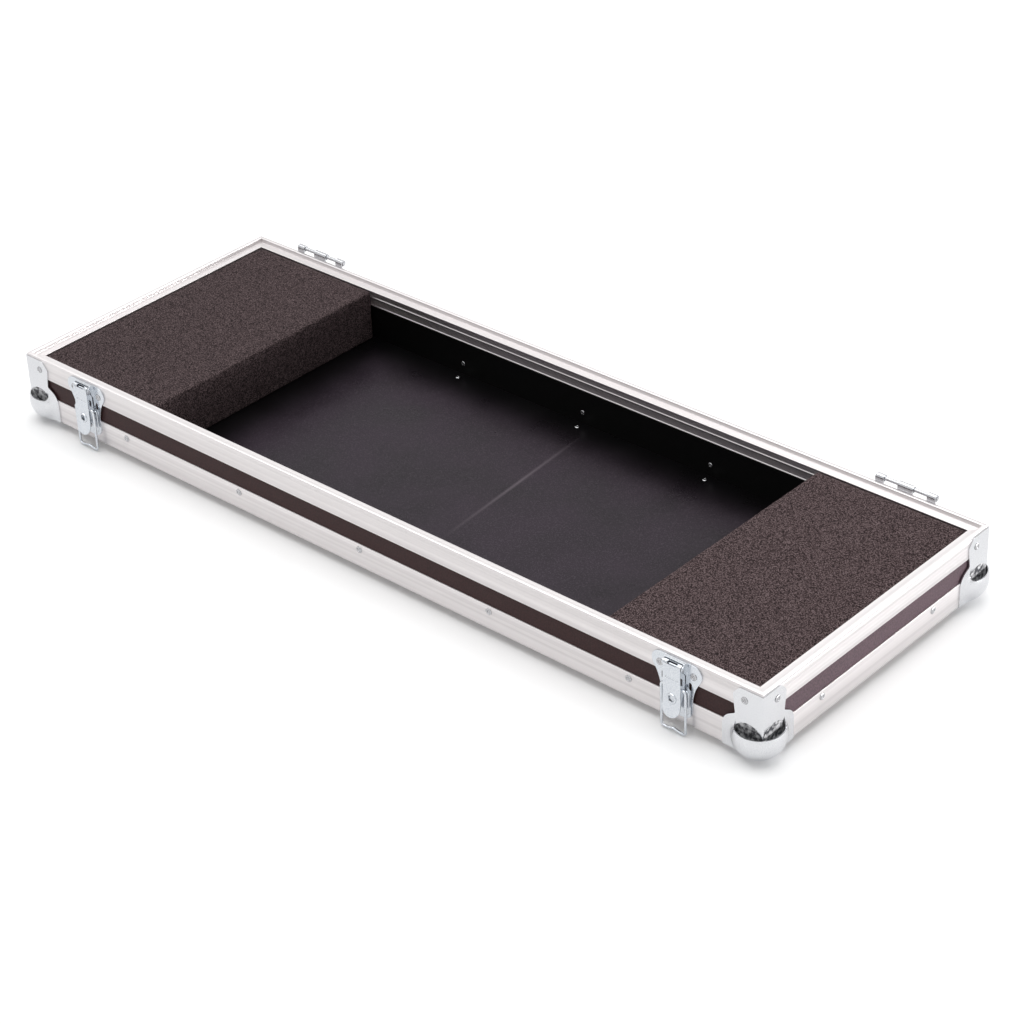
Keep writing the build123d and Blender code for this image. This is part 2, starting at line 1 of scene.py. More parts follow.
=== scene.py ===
"""Looks for the base tray of a keyboard flight case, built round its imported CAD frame.

The tray stands on four pressed ball corners. Its walls are film-faced board in aluminium
edging, and it carries two latches, two lift-off hinge halves and two foam support blocks.
Every piece is in metres, in the frame of the CAD model. The classes hold their sizes in
millimetres, because that is how such a case is made.
"""

import logging
import math
from dataclasses import dataclass, field
from enum import Enum
from typing import Any, Iterator

import bmesh
import bpy
import numpy as np
from mathutils import Matrix, Vector


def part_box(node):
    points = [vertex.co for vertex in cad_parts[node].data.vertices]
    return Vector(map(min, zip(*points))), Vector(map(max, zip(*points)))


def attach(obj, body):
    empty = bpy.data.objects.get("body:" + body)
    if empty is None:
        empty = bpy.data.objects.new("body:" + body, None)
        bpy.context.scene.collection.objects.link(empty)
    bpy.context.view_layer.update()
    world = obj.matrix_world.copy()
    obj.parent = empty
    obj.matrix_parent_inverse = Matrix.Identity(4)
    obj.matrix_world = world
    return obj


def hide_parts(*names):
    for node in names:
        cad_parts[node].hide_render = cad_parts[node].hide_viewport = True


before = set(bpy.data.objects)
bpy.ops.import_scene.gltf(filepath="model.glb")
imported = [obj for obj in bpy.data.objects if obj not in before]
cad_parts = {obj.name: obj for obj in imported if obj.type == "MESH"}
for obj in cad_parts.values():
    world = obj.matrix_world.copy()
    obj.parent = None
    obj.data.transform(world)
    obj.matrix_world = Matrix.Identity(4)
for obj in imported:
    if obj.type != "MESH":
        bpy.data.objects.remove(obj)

LOG = logging.getLogger("keyboard_case")
Tree = bpy.types.NodeTree
Socket = bpy.types.NodeSocket
Material = bpy.types.Material
Piece = bpy.types.Object
Pair = tuple[float, float]

MM = 0.001
MICROMETRE = 1e-6
WELD_DISTANCE = 2e-6  # metres, within which two points become one
CAD_CREASE_DEGREES = 32.0  # edges of a CAD shape that turn further than this are sharp

# The case over the outer faces of its edging, and the height that the ball corners give it
CASE_LENGTH = 1122.0
CASE_WIDTH = 395.0
STAND_HEIGHT = 11.14
RIM_TOP = 80.4  # above the underside of the bottom angles, as every height on a side is
FITTING_FROM_END = 108.0  # the middle of each latch and hinge, from the end of its side


class Run(Enum):
    """The way that a piece of edging runs, which its drawn lines follow."""

    ALONG_X = "x"
    ALONG_Y = "y"


class Hand(Enum):
    """The two ends of the case, seen from the latch side."""

    LEFT = -1
    RIGHT = 1

    @property
    def word(self) -> str:
        """The end's name in lower case, as the CAD nodes spell it."""
        return self.name.lower()


# Nodes and colours


def linear(code: str) -> tuple[float, ...]:
    """Turn an sRGB hex code, such as #FFFFFF, into linear red, green and blue, with alpha 1."""
    values = [int(code[i : i + 2], 16) / 255 for i in (1, 3, 5)]
    return (*(v / 12.92 if v <= 0.04045 else ((v + 0.055) / 1.055) ** 2.4 for v in values), 1.0)


def add_node(
    tree: Tree,
    kind: str,
    settings: dict[str, Any] | None = None,
    inputs: dict[str | int, Any] | None = None,
) -> bpy.types.Node:
    """Add one node, set its options and fill or link its sockets.

    Args:
        tree: the material's or the world's node tree.
        kind: the node's type name after "ShaderNode".
        settings: options of the node itself, such as its operation.
        inputs: a value for each named or numbered socket, or the socket that feeds it.

    Returns:
        The new node.
    """
    node = tree.nodes.new("ShaderNode" + kind)
    for key, value in (settings or {}).items():
        setattr(node, key, value)
    for key, value in (inputs or {}).items():
        if isinstance(value, Socket):
            tree.links.new(value, node.inputs[key])
        else:
            node.inputs[key].default_value = value
    return node


def new_material(name: str) -> tuple[Material, Tree]:
    """Make an empty node material.

    Args:
        name: the material's name.

    Returns:
        The material and its tree.
    """
    material = bpy.data.materials.new(name)
    material.use_nodes = True
    material.node_tree.nodes.clear()
    return material, material.node_tree


def object_place(tree: Tree) -> Socket:
    """The point in the object's own space."""
    return add_node(tree, "TexCoord").outputs["Object"]


def parts_of(tree: Tree, vector: Socket) -> list[Socket]:
    """The x, y and z of a vector."""
    return list(add_node(tree, "SeparateXYZ", inputs={"Vector": vector}).outputs)


def maths(tree: Tree, operation: str, *values: Socket | float) -> Socket:
    """One arithmetic node, fed with sockets or numbers."""
    return add_node(tree, "Math", {"operation": operation}, dict(enumerate(values))).outputs[0]


def carried(tree: Tree, value: Socket, start: Pair, end: Pair, interpolation: str = "LINEAR") -> Socket:
    """Carry a value from one range to another, by a node's kind of interpolation, and hold it there."""
    inputs = {"Value": value, "From Min": start[0], "From Max": start[1], "To Min": end[0], "To Max": end[1]}
    return add_node(tree, "MapRange", {"interpolation_type": interpolation}, inputs).outputs["Result"]


def faded(
    tree: Tree, place: Socket, reach_mm: Pair, end: Pair, interpolation: str = "LINEAR"
) -> Socket:
    """Carry how far a coordinate lies from 0, on either side, from a range in millimetres to another."""
    start = (reach_mm[0] * MM, reach_mm[1] * MM)
    return carried(tree, maths(tree, "ABSOLUTE", place), start, end, interpolation)


def spread(tree: Tree, noise: Socket, low: float, high: float) -> Socket:
    """Carry a noise value, which lies mostly between 0.3 and 0.7, to a range of its own."""
    return carried(tree, noise, (0.3, 0.7), (low, high))


def laid_over(tree: Tree, mask: Socket, colour: Socket, mark: Any) -> Socket:
    """A colour, with a second colour or socket in its place where the mask is 1."""
    inputs = {"Factor": mask, "A": colour, "B": mark}
    return add_node(tree, "Mix", {"data_type": "RGBA"}, inputs).outputs["Result"]


def colour_ramp(tree: Tree, factor: Socket, stops: list[tuple[float, str]]) -> Socket:
    """Spread colours over a factor.

    Args:
        tree: the tree to add to.
        factor: what picks the colour, from 0 to 1.
        stops: places from 0 to 1, each with its sRGB hex colour.

    Returns:
        The ramp's colour socket.
    """
    ramp = add_node(tree, "ValToRGB", inputs={"Fac": factor})
    elements = ramp.color_ramp.elements
    while len(elements) < len(stops):
        elements.new(0.5)
    for element, (place, code) in zip(elements, stops):
        element.position = place
        element.color = linear(code)
    return ramp.outputs["Color"]


def placed_noise(
    tree: Tree, pitch_mm: tuple[float, ...], detail: float = 2.0, seed: float = 0.0
) -> Socket:
    """Noise in the object's own space, with one feature to each pitch along x, y and z.

    Args:
        tree: the tree to add to.
        pitch_mm: the size of one feature along each axis.
        detail: how many finer layers the noise has.
        seed: moves the noise, so that two patterns differ.

    Returns:
        The noise's value socket.
    """
    scale = tuple(1 / (p * MM) for p in pitch_mm)
    inputs = {"Vector": object_place(tree), "Location": (seed, seed, seed), "Scale": scale}
    place = add_node(tree, "Mapping", inputs=inputs).outputs["Vector"]
    noise = add_node(tree, "TexNoise", inputs={"Vector": place, "Scale": 1.0, "Detail": detail})
    return noise.outputs["Fac"]


def bump(
    tree: Tree, height: Socket, depth_mm: float, strength: float = 1.0, normal: Socket | None = None
) -> Socket:
    """Turn a height into a bump.

    Args:
        tree: the tree to add to.
        height: from 0 to 1.
        depth_mm: how deep a height of 1 is.
        strength: how much of the bump shows.
        normal: the bump that this one lies on, if there is one.

    Returns:
        The bumped normal's socket.
    """
    inputs = {"Height": height, "Distance": depth_mm * MM, "Strength": strength}
    if normal is not None:
        inputs["Normal"] = normal
    return add_node(tree, "Bump", inputs=inputs).outputs["Normal"]


def finish_surface(
    tree: Tree, colour: Socket, roughness: Socket | float, normal: Socket, others: dict[str, float]
) -> None:
    """Add the surface shader and the output.

    Args:
        tree: the material's tree.
        colour: the base colour.
        roughness: from 0 for a mirror to 1.
        normal: the bumped normal.
        others: constants of the shader's other sockets.
    """
    inputs = {"Base Color": colour, "Roughness": roughness, "Normal": normal, **others}
    shader = add_node(tree, "BsdfPrincipled", inputs=inputs)
    add_node(tree, "OutputMaterial", inputs={"Surface": shader.outputs["BSDF"]})


# Finishes


@dataclass(frozen=True)
class MillAluminium:
    """6063 aluminium extrusion in mill finish: almost white satin metal with faint lines from the die."""

    colour: str = "#E3DFDF"
    streak_colour: str = "#D3CFCF"
    line_pitch_mm: float = 1.2  # drawn coarser than the real 0.1 mm, so that it shows
    line_length_mm: float = 260.0
    line_depth_mm: float = 0.01
    streaks_to_lines: float = 5.0
    metallic: float = 0.9
    roughness: float = 0.34

    def material(self, run: Run) -> Material:
        """Make the finish with its die lines along the edging.

        Args:
            run: the way that the edging runs.

        Returns:
            The finish's material.
        """
        material, tree = new_material("mill_aluminium_" + run.value)
        fine, long = self.line_pitch_mm, self.line_length_mm
        pitch = (long, fine, fine) if run is Run.ALONG_X else (fine, long, fine)
        lines = placed_noise(tree, pitch)
        broad = placed_noise(tree, tuple(self.streaks_to_lines * p for p in pitch), seed=7.0)
        colour = colour_ramp(tree, broad, [(0.35, self.streak_colour), (0.6, self.colour)])
        rough = spread(tree, lines, self.roughness - 0.04, self.roughness + 0.05)
        normal = bump(tree, lines, self.line_depth_mm, 0.2)
        finish_surface(tree, colour, rough, normal, {"Metallic": self.metallic})
        return material


@dataclass(frozen=True)
class ZincPlatedSteel:
    """Pressed steel with bright zinc plating: a nearly white mirror with soft waves from the press."""

    name: str
    colour: str = "#DCDDDF"
    dull_colour: str = "#CBCCD0"
    wave_mm: float = 7.0
    wave_depth_mm: float = 0.12
    grain_mm: float = 0.9
    grain_depth_mm: float = 0.008
    roughness: float = 0.16

    def material(self) -> Material:
        """Make the plated finish.

        Returns:
            The finish's material.
        """
        material, tree = new_material(self.name)
        waves = placed_noise(tree, (self.wave_mm,) * 3, detail=1.0)
        grain = placed_noise(tree, (self.grain_mm,) * 3, detail=3.0, seed=3.0)
        colour = colour_ramp(tree, grain, [(0.3, self.dull_colour), (0.6, self.colour)])
        rough = spread(tree, grain, self.roughness - 0.04, self.roughness + 0.08)
        pressed = bump(tree, waves, self.wave_depth_mm, 0.5)
        normal = bump(tree, grain, self.grain_depth_mm, 0.3, pressed)
        finish_surface(tree, colour, rough, normal, {"Metallic": 1.0})
        return material


@dataclass(frozen=True)
class ReflectionPaintedSteel:
    """Plated sheet with folds in its bump, whose colour is painted reflection: light and dark patches along
    the folds, in place of what the plated inside of a ball corner mirrors.
    """

    colour: str = "#F4F4F6"
    dark: str = "#626267"
    fold_mm: float = 5.0
    fold_depth_mm: float = 1.6
    roughness: float = 0.25

    def material(self) -> Material:
        """Make the folded sheet's finish, with its reflections painted into its colour.

        Returns:
            The finish's material.
        """
        material, tree = new_material("painted_reflection_steel")
        folds = placed_noise(tree, (self.fold_mm,) * 3, detail=1.5)
        # painted reflection: the folds' dark and light patches set in the colour, with no metal sheen
        colour = colour_ramp(tree, folds, [(0.4, self.dark), (0.6, self.colour)])
        normal = bump(tree, folds, self.fold_depth_mm)
        finish_surface(tree, colour, self.roughness, normal, {"Metallic": 0.0})
        return material


@dataclass(frozen=True)
class DullSteelWithHoleShade:
    """Bare carbon steel wire end, snapped off and dulled: the middle of a pop rivet, its own dull grey
    darkened to near black as painted shade in the hole.
    """

    # near black: partly the wire's own dull grey, partly painted shade in the rivet's hole
    colour: str = "#242326"
    dark: str = "#0E0E10"
    grain_mm: float = 0.7
    grain_depth_mm: float = 0.05
    metallic: float = 0.3
    roughness: float = 0.5

    def material(self) -> Material:
        """Make the broken wire end's finish, with the hole's painted shade.

        Returns:
            The finish's material.
        """
        material, tree = new_material("dull_steel_and_painted_hole_shade")
        grain = placed_noise(tree, (self.grain_mm,) * 3)
        colour = colour_ramp(tree, grain, [(0.35, self.dark), (0.65, self.colour)])
        normal = bump(tree, grain, self.grain_depth_mm, 0.5)
        finish_surface(tree, colour, self.roughness, normal, {"Metallic": self.metallic})
        return material


@dataclass(frozen=True)
class PhenolicFilm:
    """Birch ply faced with pressed phenolic film: dark brown outside, black inside, satin.

    The short walls' film is painted paler than the long walls': painted light, for the stronger light that
    falls on the ends.
    """

    long_side: str = "#493030"
    long_side_dark: str = "#382525"
    # painted light: the short walls' film is paler than the long walls'
    short_side_painted_light: str = "#6E5A61"
    short_side_painted_light_dark: str = "#55464D"
    inside: str = "#080707"
    inside_dark: str = "#030303"
    half_length_mm: float = CASE_LENGTH / 2 - 7
    half_width_mm: float = CASE_WIDTH / 2 - 7
    mottle_mm: float = 1.8  # drawn coarser than the film's real paper grain, so that it shows
    mottle_depth_mm: float = 0.03
    specular: float = 0.15
    roughness: float = 0.45

    def material(self) -> Material:
        """Make the film: outside where a point lies past the middle of its wall, or else inside.

        Returns:
            The finish's material.
        """
        material, tree = new_material("phenolic_film")
        x, y, _ = parts_of(tree, object_place(tree))
        mottle = placed_noise(tree, (self.mottle_mm,) * 3)
        colour = colour_ramp(tree, mottle, [(0.35, self.inside_dark), (0.65, self.inside)])
        # the short walls take the paler film, as painted light
        for place, half, dark, pale in (
            (y, self.half_width_mm, self.long_side_dark, self.long_side),
            (x, self.half_length_mm, self.short_side_painted_light_dark, self.short_side_painted_light),
        ):
            film = colour_ramp(tree, mottle, [(0.35, dark), (0.65, pale)])
            outside = maths(tree, "GREATER_THAN", maths(tree, "ABSOLUTE", place), half * MM)
            colour = laid_over(tree, outside, colour, film)
        rough = spread(tree, mottle, self.roughness - 0.05, self.roughness + 0.08)
        normal = bump(tree, mottle, self.mottle_depth_mm, 0.4)
        finish_surface(tree, colour, rough, normal, {"Specular IOR Level": self.specular})
        return material


@dataclass(frozen=True)
class FloorFilm:
    """The floor's film-faced board: a dark violet grey, faintly speckled and scuffed by use, with painted
    shade darkening it along the walls and the foam.
    """

    colour: str = "#2C222C"
    dark: str = "#211A21"
    cloud_mm: float = 70.0
    # painted shade: a near black laid over the floor along the walls and the foam
    painted_wall_shade: str = "#080708"
    painted_wall_shade_reach_mm: float = 92.0
    half_length_mm: float = 347.3
    half_width_mm: float = 184.0
    speck: str = "#514851"
    speck_mm: float = 1.3
    speck_depth_mm: float = 0.02
    scratch: str = "#5F565D"
    scratch_start_mm: Pair = (16.9, 177.3)
    scratch_end_mm: Pair = (40.7, -110.9)
    scratch_width_mm: float = 3.4  # to either side, where it has faded out
    top_face_mm: float = STAND_HEIGHT + 5.0
    specular: float = 0.14
    roughness: float = 0.3

    def scratch_mask(self, tree: Tree) -> Socket:
        """Mark the scratch.

        Args:
            tree: the floor material's tree.

        Returns:
            1 in the middle of the scratch, fading to 0 at its sides and ends.
        """
        (x0, y0), (x1, y1) = self.scratch_start_mm, self.scratch_end_mm
        inputs = {
            "Vector": object_place(tree),
            "Location": ((x0 + x1) / 2 * MM, (y0 + y1) / 2 * MM, 0.0),
            "Rotation": (0.0, 0.0, math.atan2(y1 - y0, x1 - x0)),
        }
        local = add_node(tree, "Mapping", {"vector_type": "TEXTURE"}, inputs)
        along, across, _ = parts_of(tree, local.outputs["Vector"])
        lengthways = faded(tree, along, (0.0, math.dist((x0, y0), (x1, y1)) / 2), (1.0, 0.0))
        sideways = faded(tree, across, (0.0, self.scratch_width_mm), (1.0, 0.0))
        return maths(tree, "MULTIPLY", lengthways, sideways)

    def painted_wall_shade_mask(self, tree: Tree) -> Socket:
        """Mark the painted shade: the floor darkened towards the walls and the foam, where shade falls.

        Args:
            tree: the floor material's tree.

        Returns:
            1 along the walls and the foam, fading to 0 within the reach.
        """
        x, y, _ = parts_of(tree, object_place(tree))
        near = [
            faded(tree, place, (half - self.painted_wall_shade_reach_mm, half), (0.0, 1.0), "SMOOTHERSTEP")
            for place, half in ((x, self.half_length_mm), (y, self.half_width_mm))
        ]
        return maths(tree, "MAXIMUM", *near)

    def on_top(self, tree: Tree, mask: Socket) -> Socket:
        """The mask on the board's upper face, and 0 on its underside."""
        height = parts_of(tree, object_place(tree))[2]
        return maths(tree, "MULTIPLY", maths(tree, "GREATER_THAN", height, self.top_face_mm * MM), mask)

    def material(self) -> Material:
        """Make the floor's film with its specks, painted shade along the walls and foam, and one long
        scratch.

        Returns:
            The finish's material.
        """
        material, tree = new_material("floor_film")
        cloud = placed_noise(tree, (self.cloud_mm,) * 3, detail=3.0)
        colour = colour_ramp(tree, cloud, [(0.3, self.dark), (0.7, self.colour)])
        specks = placed_noise(tree, (self.speck_mm,) * 3, detail=1.0, seed=5.0)
        for mask, mark in (
            (carried(tree, specks, (0.5, 0.75), (0.0, 0.5)), self.speck),
            (self.on_top(tree, self.scratch_mask(tree)), self.scratch),
            # painted shade along the walls and the foam
            (self.on_top(tree, self.painted_wall_shade_mask(tree)), self.painted_wall_shade),
        ):
            colour = laid_over(tree, mask, colour, linear(mark))
        rough = spread(tree, cloud, self.roughness - 0.06, self.roughness + 0.08)
        normal = bump(tree, specks, self.speck_depth_mm, 0.3)
        finish_surface(tree, colour, rough, normal, {"Specular IOR Level": self.specular})
        return material


@dataclass(frozen=True)
class OpenCellFoam:
    """Firm polyether foam, dark brown: sawn open cells, whose colour carries painted shade in the pores and
    painted highlight on the cell tips.
    """

    name: str
    pore_painted_shade: str
    body: str
    cell_tip_painted_highlight: str
    cell_mm: float = 1.6  # drawn coarser than the real 1 mm cell, so that it shows
    cell_depth_mm: float = 0.6
    noise_to_cell: float = 0.8
    specular: float = 0.2
    roughness: float = 0.95

    def material(self) -> Material:
        """Make the foam, whose height is noise + 1/4 - half the distance to a cell's middle.

        Returns:
            The finish's material.
        """
        material, tree = new_material(self.name)
        inputs = {"Vector": object_place(tree), "Scale": 1 / (self.cell_mm * MM)}
        cells = add_node(tree, "TexVoronoi", {"feature": "F1"}, inputs)
        noise = placed_noise(tree, (self.cell_mm * self.noise_to_cell,) * 3)
        mixed = maths(tree, "MULTIPLY_ADD", cells.outputs["Distance"], -0.5, noise)
        height = maths(tree, "ADD", mixed, 0.25)
        # painted shade in the pores and painted highlight on the cell tips: the colour follows the height
        colour = colour_ramp(tree, height, [(0.34, self.pore_painted_shade), (0.5, self.body), (0.7, self.cell_tip_painted_highlight)])
        normal = bump(tree, height, self.cell_depth_mm, 0.8)
        finish_surface(tree, colour, self.roughness, normal, {"Specular IOR Level": self.specular})
        return material


# Meshes


@dataclass
class Surface:
    """Points in millimetres, the faces between them, and which material each face takes."""

    points: np.ndarray
    faces: list[tuple[int, ...]] = field(default_factory=list)
    slots: list[int] = field(default_factory=list)

    @classmethod
    def grid(cls, points: np.ndarray, close_columns: bool = False) -> "Surface":
        """Join a grid of points with quads.

        Args:
            points: rows by columns by xyz.
            close_columns: joins the last column to the first.

        Returns:
            The surface, with normals along row direction cross column direction.
        """
        rows, columns = points.shape[:2]
        index = np.arange(rows * columns).reshape(rows, columns)
        if close_columns:
            index = np.hstack([index, index[:, :1]])
        quads = np.stack([index[:-1, :-1], index[1:, :-1], index[1:, 1:], index[:-1, 1:]], axis=-1)
        faces = [tuple(q) for q in quads.reshape(-1, 4).tolist()]
        return cls(points.reshape(-1, 3), faces, [0] * len(faces))

    def capped(self, ring: int) -> "Surface":
        """Close the surface by one face over its first points and one over its last.

        Args:
            ring: how many points each of the two faces has.

        Returns:
            The closed surface.
        """
        count = len(self.points)
        caps = [tuple(range(ring)), tuple(range(count - 1, count - ring - 1, -1))]
        return Surface(self.points, self.faces + caps, self.slots + [0, 0])

    @classmethod
    def lathe(cls, profile: list[Pair], segments: int = 32) -> "Surface":
        """Turn a profile of (radius, height) about z: a point at angle a is (r cos a, r sin a, h).

        Args:
            profile: from the bottom to the top, closed where it meets the axis.
            segments: steps round the axis.

        Returns:
            The turned surface, facing away from the axis.
        """
        radius, height = np.array(profile, float).T
        turn = np.linspace(0, 2 * math.pi, segments, endpoint=False)
        x = radius[:, None] * np.cos(turn)
        y = radius[:, None] * np.sin(turn)
        z = np.broadcast_to(height[:, None], x.shape)
        return cls.grid(np.stack([x, y, z], axis=-1)[::-1], close_columns=True)

    @classmethod
    def crossbar(cls, half: list[Pair], out: float, height: float) -> "Surface":
        """Turn a bar with two like ends, and lay it along x on a side.

        Args:
            half: its profile of (radius, distance from the middle), to one end.
            out: how far its axis lies in front of the side.
            height: of its axis.

        Returns:
            The bar in the side's frame.
        """
        profile = [(r, -h) for r, h in reversed(half)] + half
        lay = Matrix.Translation((0, -out, height)) @ Matrix.Rotation(math.pi / 2, 4, "Y")
        return cls.lathe(profile).moved(lay)

    @classmethod
    def tube(
        cls, path: np.ndarray, normal: tuple[float, float, float], radius: float, sides: int = 16
    ) -> "Surface":
        """Carry a circle along a flat path: point = path + r (cos a * side + sin a * normal).

        Args:
            path: points of the centre line, all in one plane.
            normal: that plane's normal.
            radius: of the wire.
            sides: steps round the wire.

        Returns:
            The closed tube with flat ends.
        """
        along = np.gradient(path, axis=0)
        along /= np.linalg.norm(along, axis=1)[:, None]
        up = np.array(normal, float)
        side = np.cross(up, along)
        turn = np.linspace(0, 2 * math.pi, sides, endpoint=False)
        ring = np.cos(turn)[None, :, None] * side[:, None, :] + np.sin(turn)[None, :, None] * up
        return cls.grid(path[:, None, :] + radius * ring, close_columns=True).capped(sides)

    @classmethod
    def mitred(cls, outline: np.ndarray, half_length: float, end_cut: float) -> "Surface":
        """Carry an outline along x: a point (y, z) runs to x = half length - max(y, end cut) at each end.

        Args:
            outline: closed outline of (inward, up).
            half_length: how far the run would reach at inward 0.
            end_cut: how much is cut square off each end before the mitre starts.

        Returns:
            The closed bar.
        """
        y, z = outline.T
        reach = half_length - np.maximum(y, end_cut)
        x = np.stack([-reach, reach])
        points = np.stack([x, np.broadcast_to(y, x.shape), np.broadcast_to(z, x.shape)], axis=-1)
        return cls.grid(points, close_columns=True).capped(len(outline))

    @classmethod
    def soft_box(
        cls, low: np.ndarray, high: np.ndarray, radius: float, step: float, depth: float
    ) -> "Surface":
        """A box with rounded edges and a porous skin.

        A point p of the box goes to c + r (p - c) / |p - c|, where c is p held within the box
        shrunk by r on every side, and from there inward by depth times the noise at p.

        Args:
            low: the box's lowest corner.
            high: the box's highest corner.
            radius: of the edges.
            step: between neighbouring points, about.
            depth: of the deepest pore.

        Returns:
            The closed box of six grids.
        """
        counts = np.maximum(np.round((high - low) / step).astype(int), 2) + 1
        lines = [np.linspace(low[i], high[i], counts[i]) for i in range(3)]
        pore_pitch = step * 1.6
        sides = []
        for axis in range(3):
            first, second = (axis + 1) % 3, (axis + 2) % 3
            u, v = np.meshgrid(lines[first], lines[second], indexing="ij")
            for level in (low[axis], high[axis]):
                points = np.empty(u.shape + (3,))
                points[..., axis], points[..., first], points[..., second] = level, u, v
                held = np.clip(points, low + radius, high - radius)
                away = points - held
                away /= np.linalg.norm(away, axis=-1, keepdims=True)
                pores = lattice_noise(points, pore_pitch)[..., None]
                sides.append(cls.grid(held + away * (radius - depth * pores)))
        return cls.joined(sides)

    def moved(self, place: Matrix) -> "Surface":
        """The surface carried by a matrix in millimetres."""
        matrix = np.array(place)
        return Surface(self.points @ matrix[:3, :3].T + matrix[:3, 3], self.faces, self.slots)

    def in_slot(self, slot: int) -> "Surface":
        """The surface with every face in one material slot."""
        return Surface(self.points, self.faces, [slot] * len(self.faces))

    @staticmethod
    def joined(surfaces: list["Surface"]) -> "Surface":
        """Join several surfaces, each still closed by itself.

        Args:
            surfaces: in the order that their points take.

        Returns:
            The one surface.
        """
        whole = Surface(np.vstack([surface.points for surface in surfaces]))
        first = 0
        for surface in surfaces:
            whole.faces += [tuple(i + first for i in face) for face in surface.faces]
            whole.slots += surface.slots
            first += len(surface.points)
        return whole

    def piece(self, name: str, crease_degrees: float = 35.0) -> Piece:
        """Put the surface into an object at the origin, whose edges past the crease angle stay sharp."""
        return new_piece(name, self.points * MM, self.faces, crease_degrees, self.slots)


def new_piece(
    name: str,
    points: np.ndarray,
    faces: list[tuple[int, ...]],
    crease_degrees: float,
    slots: list[int] | None = None,
) -> Piece:
    """Make an object whose like points are merged, smooth but for its sharp edges.

    Args:
        name: the object's name.
        points: in metres.
        faces: the points of each face.
        crease_degrees: edges that turn further than this stay sharp.
        slots: each face's material slot, or None for the triangles of a CAD shape, which are
            joined where they lie flat.

    Returns:
        The object, linked to the scene.
    """
    mesh = bpy.data.meshes.new(name)
    mesh.from_pydata(points, [], faces)
    if slots:
        mesh.polygons.foreach_set("material_index", slots)
    work = bmesh.new()
    work.from_mesh(mesh)
    bmesh.ops.remove_doubles(work, verts=work.verts, dist=WELD_DISTANCE)
    if slots:
        bmesh.ops.recalc_face_normals(work, faces=work.faces)
    else:
        flat = math.radians(0.4)
        bmesh.ops.dissolve_limit(
            work, angle_limit=flat, verts=work.verts, edges=work.edges, delimit={"NORMAL"}
        )
    work.to_mesh(mesh)
    work.free()
    mesh.polygons.foreach_set("use_smooth", np.ones(len(mesh.polygons), bool))
    mesh.set_sharp_from_angle(angle=math.radians(crease_degrees))
    piece = bpy.data.objects.new(name, mesh)
    bpy.context.scene.collection.objects.link(piece)
    return piece


def lattice_noise(points: np.ndarray, pitch: float) -> np.ndarray:
    """Value noise: a hashed number at each lattice corner, blended by 3 t^2 - 2 t^3 along each axis.

    Args:
        points: any shape of points, with xyz last.
        pitch: of the lattice.

    Returns:
        A value from 0 to 1 for each point.
    """
    place = points[..., None, :] / pitch
    cell = np.floor(place).astype(np.int64)
    part = place - cell
    ease = part * part * (3 - 2 * part)
    steps = np.stack(np.meshgrid([0, 1], [0, 1], [0, 1], indexing="ij"), axis=-1).reshape(8, 3)
    mixed = (cell + steps) @ np.array([374761393, 668265263, 2147483647])
    mixed = ((mixed ^ (mixed >> 13)) * 1274126177) & 0xFFFFFFFF
    values = (mixed ^ (mixed >> 16)) / 0xFFFFFFFF
    weights = np.where(steps == 1, ease, 1 - ease).prod(axis=-1)
    return (values * weights).sum(axis=-1)


def softened(outline: list[Pair], radius: float, steps: int = 4) -> np.ndarray:
    """Round a closed outline: a corner p becomes (1-t)^2 a + 2t(1-t) p + t^2 b.

    Args:
        outline: the corners in order.
        radius: how far from p the points a and b lie, or under half of a shorter edge.
        steps: points on each rounding.

    Returns:
        The rounded outline.
    """
    corners = np.asarray(outline, float)
    ends = []
    for way in (1, -1):
        edge = np.roll(corners, way, axis=0) - corners
        size = np.linalg.norm(edge, axis=1, keepdims=True)
        ends.append(corners + edge / size * np.minimum(radius, 0.45 * size))
    t = np.linspace(0, 1, steps)[None, :, None]
    a, p, b = ends[0][:, None], corners[:, None], ends[1][:, None]
    return ((1 - t) ** 2 * a + 2 * t * (1 - t) * p + t**2 * b).reshape(-1, 2)


def bent(corners: list[Pair], radii: list[float], steps: int = 8) -> np.ndarray:
    """A wire's centre line: straight runs joined by arcs that touch both runs.

    At a corner p with unit ways u and w to its neighbours and half angle h between them, an arc
    of radius r has its centre at p + (u + w) / |u + w| * r / sin h and starts r / tan h from p.

    Args:
        corners: where the runs would meet, with both ends.
        radii: of the arc at each corner between the ends.
        steps: points on each arc.

    Returns:
        The points of the line.
    """
    line = [np.array(corners[0], float)]
    for before, corner, after, radius in zip(corners, corners[1:], corners[2:], radii):
        p = np.array(corner, float)
        u, w = (np.array(q, float) - p for q in (before, after))
        u, w = u / np.linalg.norm(u), w / np.linalg.norm(w)
        half = math.acos(float(u @ w)) / 2
        middle = (u + w) / np.linalg.norm(u + w)
        centre = p + middle * radius / math.sin(half)
        side = np.array([-middle[1], middle[0]])
        side = side * math.copysign(1, float(w @ side))
        turn = np.linspace(half - math.pi / 2, math.pi / 2 - half, steps)[:, None]
        line += list(centre + radius * (side * np.sin(turn) - middle * np.cos(turn)))
    line.append(np.array(corners[-1], float))
    return np.array(line)


